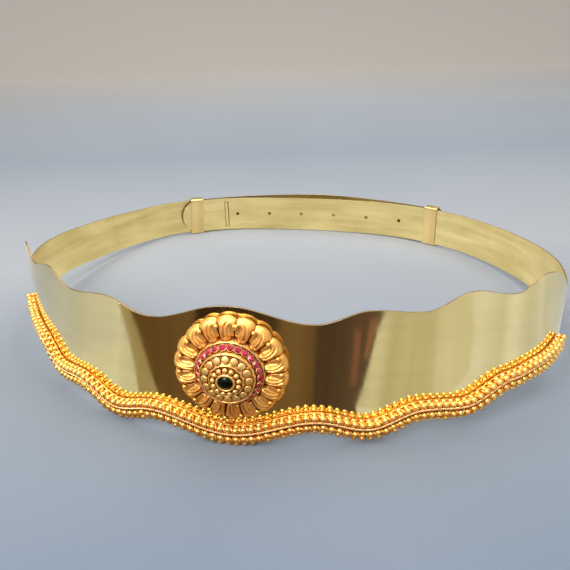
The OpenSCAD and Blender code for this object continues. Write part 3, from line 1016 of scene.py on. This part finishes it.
def ring_bead_shape():
    return ball(1.0, (4.77, 0, 10.85), 16, 10)


def ring_of(tree, name, shape, count, turn, step, finish):
    """Several copies of a shape round the medallion's axis, as one piece in its place."""
    points, faces = shape
    item = outwards(mesh_piece(name + "_item", points, faces, [finish]))
    holder = mesh_piece(name + "_holder", [(0, 0, 0)], [])
    copies = run_tree(holder, tree, name, count=count, turn=turn, step=step, item=item, finish=finish)
    bpy.data.objects.remove(item)
    copies.data.transform(Matrix.Scale(MM, 4) @ SEATED @ ON_MEDALLION)
    return copies


def make_medallion(tree):
    wires = [ring_of_wire(round_path(out, z), radius) for out, z, radius in RING_WIRES]
    body = gathered([stepped_body(), bezel(), *wires])
    granules = gathered([ball(radius, centre, 14, 9) for *centre, radius in GRANULES])
    solids = (
        ("medallion_body", body, MEDALLION_GOLD, ON_MEDALLION),
        ("ruby_band", ruby_band(), BAND_SHADE_GOLD, ON_MEDALLION),
        ("medallion_rim", scalloped_rim(), SHADED_RIM_GOLD, ON_PETALS),
        ("medallion_granules", granules, PETAL_GOLD, ON_PETALS),
    )
    for solid in solids:
        hand_over(closed_piece(*solid), "medallion_gold", "medallion")
    step, quarter = 2 * math.pi / PETALS, math.pi / 2
    right, left = (side * quarter + step / 2 + PETAL_TURN for side in (-1, 1))
    rings = [
        ("petals_right", petal_shape(False), PETALS // 2, right, step, PETAL_GOLD),
        ("petals_left", petal_shape(True), PETALS // 2, left, step, PETAL_GOLD),
    ]
    for name, shape, count, start in (
        ("ruby_collars", collar_shape(), RUBIES, quarter + math.pi / RUBIES),
        ("gold_discs", disc_shape(), DISCS, quarter),
        ("bead_ring", ring_bead_shape(), BEADS, quarter),
    ):
        rings.append((name, shape, count, start, 2 * math.pi / count, MEDALLION_GOLD))
    for ring in rings:
        hand_over(ring_of(tree, *ring), "medallion_gold", "medallion")


def dress_stones():
    for i in range(1, RUBIES + 1):
        set_finish(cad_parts[f"ruby_{i:02d}"], RUBY)
    set_finish(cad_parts["centre_stone"], GREEN_STONE)
    set_finish(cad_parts["clasp_tab"], TAB_BRASS)


def set_finish(node, finish):
    if node.material_slots:
        for slot in node.material_slots:
            slot.material = finish
    else:
        node.data.materials.append(finish)


# Studio


def make_camera():
    forward = Vector((
        math.sin(EYE_YAW) * math.cos(EYE_PITCH), math.cos(EYE_YAW) * math.cos(EYE_PITCH), -math.sin(EYE_PITCH)
    ))
    level = Vector((math.cos(EYE_YAW), -math.sin(EYE_YAW), 0))
    down = forward.cross(level)
    right = math.cos(EYE_ROLL) * level + math.sin(EYE_ROLL) * down
    down = -math.sin(EYE_ROLL) * level + math.cos(EYE_ROLL) * down
    turn = Matrix((right, -down, -forward)).transposed().to_4x4()
    pose = SEATED @ Matrix.Translation(EYE) @ turn
    data = bpy.data.cameras.new("camera")
    data.sensor_width = SENSOR
    data.lens = FOCAL_PIXELS / FRAME_PIXELS * SENSOR
    data.clip_start = 0.01
    camera = in_scene("camera", data)
    camera.matrix_world = Matrix.Translation(pose.translation * MM) @ pose.to_3x3().to_4x4()
    bpy.context.scene.camera = camera


# Painted light and shade on the floor, as tones from front to back after its first two; darkest just in front
# of the belt
FLOOR_LIGHT_AND_SHADE = (
    (0.338, (0.099, 0.135, 0.190)),
    (0.447, (0.25, 0.268, 0.297)),
    (0.564, (0.19, 0.221, 0.268)),
    (0.70, (0.27, 0.298, 0.342)),
    (1.0, (0.62, 0.59, 0.56)),
)


def make_floor():
    """Floor in soft bands of grey, painted light and shade that deepen towards the front, and that sweeps up
    far behind the belt.
    """
    finish = Finish("floor", Roughness=0.85)
    where = finish.add("ShaderNodeTexCoord").outputs["Object"]
    split = finish.add("ShaderNodeSeparateXYZ", {0: where})
    cloth = finish.noise(where, 5.0, detail=2.0)
    drift = finish.add("ShaderNodeMath", {0: cloth, 2: split.outputs["Y"]}, operation="MULTIPLY_ADD")
    drift.inputs[1].default_value = 0.12
    tone = finish.spread(drift.outputs[0], -1.09, 1.66, 0.0, 1.0)
    # Painted light and shade: the floor's grey changes with distance from front to back.
    colours = finish.ramp(tone, 0.05, 0.25, ((0.30, 0.31, 0.33), (0.115, 0.142, 0.185)))
    for position, colour in FLOOR_LIGHT_AND_SHADE:
        colours.node.color_ramp.elements.new(position).color = (*colour, 1)
    finish.show(Base_Color=colours)
    half, back, rise = 4.0, 1.6, 1.2
    turns = [math.radians(a) for a in range(0, 91, 10)]
    profile = [(-half, 0.0)] + [(back + rise * math.sin(a), rise * (1 - math.cos(a))) for a in turns]
    profile.append((back + rise, half))
    points = [(x, y, z) for y, z in profile for x in (-half, half)]
    faces = [(2 * i, 2 * i + 1, 2 * i + 3, 2 * i + 2) for i in range(len(profile) - 1)]
    floor = mesh_piece("floor", points, faces, [finish.material])


# The streaks on the cards fan out from here, in metres, so that they stand upright in the bent plate
STREAK_CENTRE = (0.0, -0.064, 0.0)


def make_card(name, corners, height, low, high, cool=None):
    """Card that only reflections see, just over the floor; its glow is streaked, and cool at its sides."""
    finish = Finish(name)
    where = finish.add("ShaderNodeTexCoord").outputs["Object"]
    from_centre = finish.add("ShaderNodeVectorMath", {0: where}, operation="SUBTRACT")
    from_centre.inputs[1].default_value = STREAK_CENTRE
    fan = finish.add("ShaderNodeVectorMath", {0: from_centre.outputs[0]}, operation="NORMALIZE")
    streaks = finish.noise(fan.outputs[0], 5.5, (1, 1, 0), 5.0)
    colour = finish.ramp(streaks, 0.38, 0.64, (low, high))
    if cool:
        split = finish.add("ShaderNodeSeparateXYZ", {0: where})
        wide = finish.maths("ABSOLUTE", split.outputs["X"])
        beside = finish.rise_and_fall(wide, 0.13, 0.15, 0.28, 0.45)
        level = finish.rise_and_fall(split.outputs["Y"], -0.15, 0.0, 0.02, 0.16)
        colour = finish.mix(finish.maths("MULTIPLY", beside, level), colour, cool)
    glow = finish.add("ShaderNodeEmission", {"Color": colour})
    finish.tree.links.new(glow.outputs[0], finish.tree.nodes["Material Output"].inputs["Surface"])
    points = [(x * MM, y * MM, height * MM) for x, y in corners]
    card = mesh_piece(name, points, [tuple(range(len(points)))], [finish.material], smooth=False)
    for rays in ("camera", "diffuse", "shadow", "transmission"):
        setattr(card, "visible_" + rays, False)


# Edge that the dark and the straw-coloured card share, and the two edges of the strip on the left
DARK_EDGE = [(26, -148), (33, -162), (45, -188), (61, -221), (75, -241)]
NEAR_STRIP = [(-52, -104), (-80, -114), (-113, -125), (-142, -133), (-179, -140), (-260, -154)]
FAR_STRIP = [(-52, -116), (-80, -127), (-113, -138), (-142, -147), (-179, -154), (-260, -170)]


def make_cards():
    """What the polished plate mirrors: pale cards all round, and dark ones in front of its middle."""
    far = 900
    wide = [(-far, -far), (far, -far), (far, far), (-far, far)]
    make_card("pale_card", wide, 0.4, (0.71, 0.68, 0.56), (0.88, 0.85, 0.76), (0.51, 0.53, 0.56))
    inside = round_path(1, 0, 24)[:, :2] * (112, 100)
    make_card("inner_card", inside, 0.6, (0.72, 0.70, 0.66), (0.95, 0.92, 0.86))
    olive = [*FAR_STRIP, (-260, -far), (8, -far), (4, -125)]
    make_card("olive_card", olive[::-1], 0.8, (0.13, 0.068, 0.022), (0.20, 0.115, 0.045))
    brown = [(-102, -195), (-25, -215), (-19, -228), (-26, -250), (-30, -340), (-170, -340), (-123, -226)]
    make_card("brown_card", brown[::-1], 0.9, (0.040, 0.020, 0.008), (0.066, 0.034, 0.014))
    strip = NEAR_STRIP + FAR_STRIP[::-1]
    make_card("left_straw_card", strip, 0.7, (0.40, 0.32, 0.17), (0.58, 0.48, 0.28))
    outer = [(300, -far), (far, -far), (420, -440), (190, -228), (140, -178), (100, -146), (60, -132)]
    make_card("right_straw_card", DARK_EDGE + outer, 0.7, (0.58, 0.52, 0.35), (0.78, 0.72, 0.56))
    along = np.linspace(-150, 150, 61)
    ahead = seated(place(along, 0, 15))[:, :2] / MM
    behind = seated(place(along[::-1], 0, 1))[:, :2] / MM
    make_card("near_card", [*ahead, *behind], 1.4, (0.10, 0.045, 0.015), (0.20, 0.095, 0.035))
    dark = [(4, -120), (4, -far), (300, -far), *DARK_EDGE[::-1], (22, -120)]
    make_card("dark_card", dark, 1.0, (0.07, 0.040, 0.025), (0.12, 0.072, 0.045))
    red = [(25, -165), (39, -224), (46, -224), (29, -165)]
    make_card("red_card", red, 1.2, (0.14, 0.06, 0.038), (0.26, 0.11, 0.07))
    second_red = [(40, -190), (58, -236), (66, -236), (44, -190)]
    make_card("second_red_card", second_red, 1.2, (0.20, 0.08, 0.05), (0.34, 0.15, 0.09))


def make_light(name, at, aim, size, power, colour):
    """Soft round lamp at a place, in metres, that faces another."""
    data = bpy.data.lights.new(name, "AREA")
    data.shape = "DISK"
    data.size = size
    data.energy = power
    data.color = colour
    light = in_scene(name, data)
    light.location = at
    light.rotation_euler = (Vector(at) - Vector(aim)).to_track_quat("Z", "Y").to_euler()


def make_world():
    """Soft room: dim and warm towards the horizon, bright and a little blue overhead."""
    world = bpy.data.worlds.new("studio")
    bpy.context.scene.world = world
    world.use_nodes = True
    tree = world.node_tree
    split = grow(tree, "ShaderNodeSeparateXYZ", {0: grow(tree, "ShaderNodeTexCoord").outputs["Generated"]})
    ramp = grow(tree, "ShaderNodeValToRGB", {"Fac": split.outputs["Z"]})
    set_stops(ramp, (0.0, 0.35), ((0.37, 0.35, 0.32), (0.95, 0.92, 0.87)))
    room = tree.nodes["Background"].inputs
    tree.links.new(ramp.outputs["Color"], room["Color"])
    room["Strength"].default_value = 0.75
    bpy.context.scene.view_settings.view_transform = "Standard"


make_camera()
make_world()
make_floor()
make_cards()
make_light("key", (-0.45, -0.75, 0.95), (0, -0.1, 0), 0.9, 20, (1.0, 0.97, 0.92))
make_light("overhead", (0.15, 0.25, 1.1), (0, 0, 0), 1.3, 13, (1.0, 0.99, 0.97))
make_sheet()
make_keeper("left_band", LEFT_KEEPER, LEFT_KEEPER_LEAN)
make_keeper("right_band", RIGHT_KEEPER, 0.0)
make_trim(bead_strand_tree())
make_medallion(ring_tree())
dress_stones()
